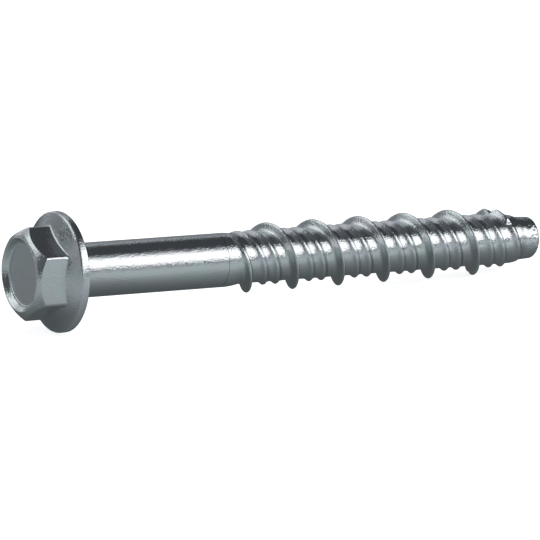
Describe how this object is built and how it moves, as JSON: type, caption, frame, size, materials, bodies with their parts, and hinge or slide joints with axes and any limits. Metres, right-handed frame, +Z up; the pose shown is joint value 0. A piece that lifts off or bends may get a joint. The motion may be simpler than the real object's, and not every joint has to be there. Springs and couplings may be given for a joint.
{
  "type": "concrete screw",
  "caption": "Concrete screw with an indented hex flange head, a plain shank and a tall coarse cutting thread with low ridges between its turns.",
  "frame": {"origin": "on the floor, under the middle of the box round the screw as it lies", "axes": "+X from the head to the point, +Z up; the screw's own axis lies in the X-Z plane and dips about 3 degrees towards the point"},
  "size_m": [0.109, 0.0218, 0.0218],
  "materials": {
    "zinc_plated_steel": "bright zinc plate"
  },
  "bodies": {
    "root": {"concrete_screw": "zinc_plated_steel"}
  },
  "joints": []
}
